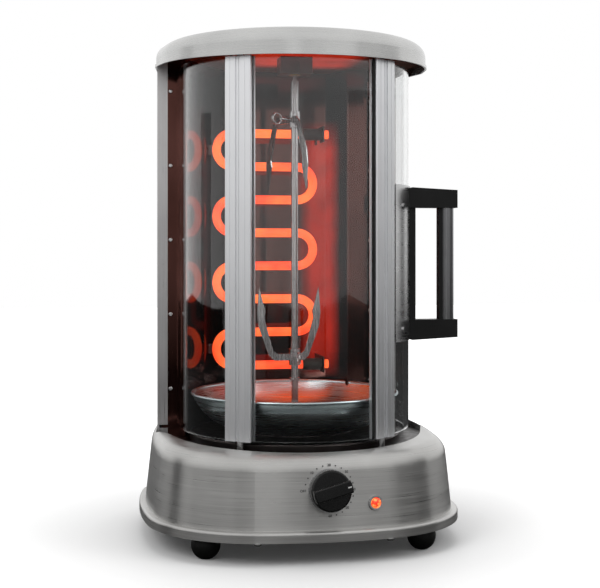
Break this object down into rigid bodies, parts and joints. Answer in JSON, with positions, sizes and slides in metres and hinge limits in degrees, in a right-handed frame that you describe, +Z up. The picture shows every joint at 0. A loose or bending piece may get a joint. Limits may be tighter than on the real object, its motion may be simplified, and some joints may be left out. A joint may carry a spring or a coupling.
{
  "type": "vertical skewer grill",
  "caption": "Electric vertical skewer grill: round glass chamber with side door on a stamped steel base, domed lid, serpentine heater behind a turning skewer with forks and a drip pan.",
  "frame": {"origin": "on the table, in the middle of the footprint; the skewer's axis stands 1 mm to its left and 16.9 mm behind it", "axes": "+Z up along the skewer, -Y out of the front with the timer, +X towards the door's handle"},
  "size_m": [0.3, 0.2838, 0.467],
  "materials": {
    "brushed_steel": "brushed, soft sheen",
    "housing_steel": "satin sheet",
    "liner_steel": "polished sheet, darkened by heat",
    "floor_steel": "dark satin",
    "zinc_sheet": "plain sheet",
    "polished_steel": "polished",
    "post_aluminium": "satin anodised extrusion",
    "glass": "clear, toughened",
    "rod_steel": "plated, dulled by use",
    "fasteners": "plated",
    "door_fittings": "satin plate",
    "grip_steel": "brushed tube",
    "black_plastic": "satin black",
    "knob_plastic": "gloss black",
    "foot_rubber": "matt black",
    "gland_plastic": "moulded",
    "lamp_red": "lit red lens",
    "lamp_chrome": "plated ring",
    "hot_sheath": "glowing sheath",
    "ceramic": "fired, sooted",
    "motor_can": "drawn can",
    "bush_brass": "turned"
  },
  "bodies": {
    "frame": {"base_housing": "brushed_steel", "lid": "brushed_steel", "rear_housing": "housing_steel", "inner_liner": "liner_steel", "chamber_floor": "floor_steel", "base_plate": "zinc_sheet", "motor_bracket": "zinc_sheet", "ceiling_plate": "zinc_sheet", "top_bracket": "polished_steel", "spindle_bush": "polished_steel", "bend_brackets": "polished_steel", "cold_end_brackets": "polished_steel", "left_post": "post_aluminium", "right_post": "post_aluminium", "left_glass": "glass", "front_glass": "glass", "foot_screws": "fasteners", "base_screws": "fasteners", "motor_screws": "fasteners", "lid_screws": "fasteners", "liner_rivets": "fasteners", "post_studs": "fasteners", "timer_nut": "fasteners", "upper_pivot": "door_fittings", "lower_pivot": "door_fittings", "feet": "foot_rubber", "cable_gland": "gland_plastic", "timer_body": "gland_plastic", "lamp_body": "gland_plastic", "lamp_lens": "lamp_red", "lamp_bezel": "lamp_chrome", "heating_element": "hot_sheath", "element_sleeves": "ceramic", "gear_motor": "motor_can", "top_bush": "bush_brass"},
    "door": {"door_glass": "glass", "upper_hinge_shoe": "door_fittings", "lower_hinge_shoe": "door_fittings", "outer_clamp_plate": "door_fittings", "inner_clamp_plate": "door_fittings", "upper_handle_bracket": "black_plastic", "lower_handle_bracket": "black_plastic", "grip_tube": "grip_steel", "grip_strip": "black_plastic", "handle_strut": "black_plastic", "handle_screws": "fasteners"},
    "timer_knob": {"timer_knob": "knob_plastic", "timer_shaft": "bush_brass"},
    "drip_pan": {"drip_pan": "polished_steel"},
    "drive_spindle": {"drive_spindle": "rod_steel"},
    "skewer": {"skewer_rod": "rod_steel", "skewer_sleeve": "rod_steel"},
    "lower_fork": {"lower_fork": "rod_steel"},
    "lower_fork_screw": {"lower_fork_screw": "rod_steel"},
    "upper_fork": {"upper_fork": "rod_steel"},
    "upper_fork_screw": {"upper_fork_screw": "rod_steel"}
  },
  "joints": [
    {"name": "door_hinge", "type": "hinge", "parent": "frame", "child": "door", "pos_m": [0.115, 0.0679, 0.1004], "axis": [0, 0, 1], "range_deg": [0, 95]},
    {"name": "timer_turn", "type": "hinge", "parent": "frame", "child": "timer_knob", "pos_m": [0.004, -0.12259, 0.0625], "axis": [-0.0155, 0.9944, -0.1045], "range_deg": [-165, 105]},
    {"name": "pan_lift", "type": "slide", "parent": "frame", "child": "drip_pan", "axis": [0, 0, 1], "range_m": [0, 0.02]},
    {"name": "spindle_turn", "type": "hinge", "parent": "frame", "child": "drive_spindle", "pos_m": [-0.001, 0.0169, 0.1], "axis": [0, 0, 1], "continuous": true},
    {"name": "skewer_lift", "type": "slide", "parent": "drive_spindle", "child": "skewer", "axis": [0, 0, 1], "range_m": [0, 0.005]},
    {"name": "lower_fork_slide", "type": "slide", "parent": "skewer", "child": "lower_fork", "axis": [0, 0, 1], "range_m": [-0.01, 0.06]},
    {"name": "lower_fork_screw_turn", "type": "hinge", "parent": "lower_fork", "child": "lower_fork_screw", "pos_m": [-0.001, 0.0069, 0.1658], "axis": [0, -1, 0], "range_deg": [0, 360]},
    {"name": "upper_fork_slide", "type": "slide", "parent": "skewer", "child": "upper_fork", "axis": [0, 0, 1], "range_m": [-0.06, 0]},
    {"name": "upper_fork_screw_turn", "type": "hinge", "parent": "upper_fork", "child": "upper_fork_screw", "pos_m": [-0.00966, 0.0119, 0.395], "axis": [-0.866, -0.5, 0], "range_deg": [0, 360]}
  ]
}
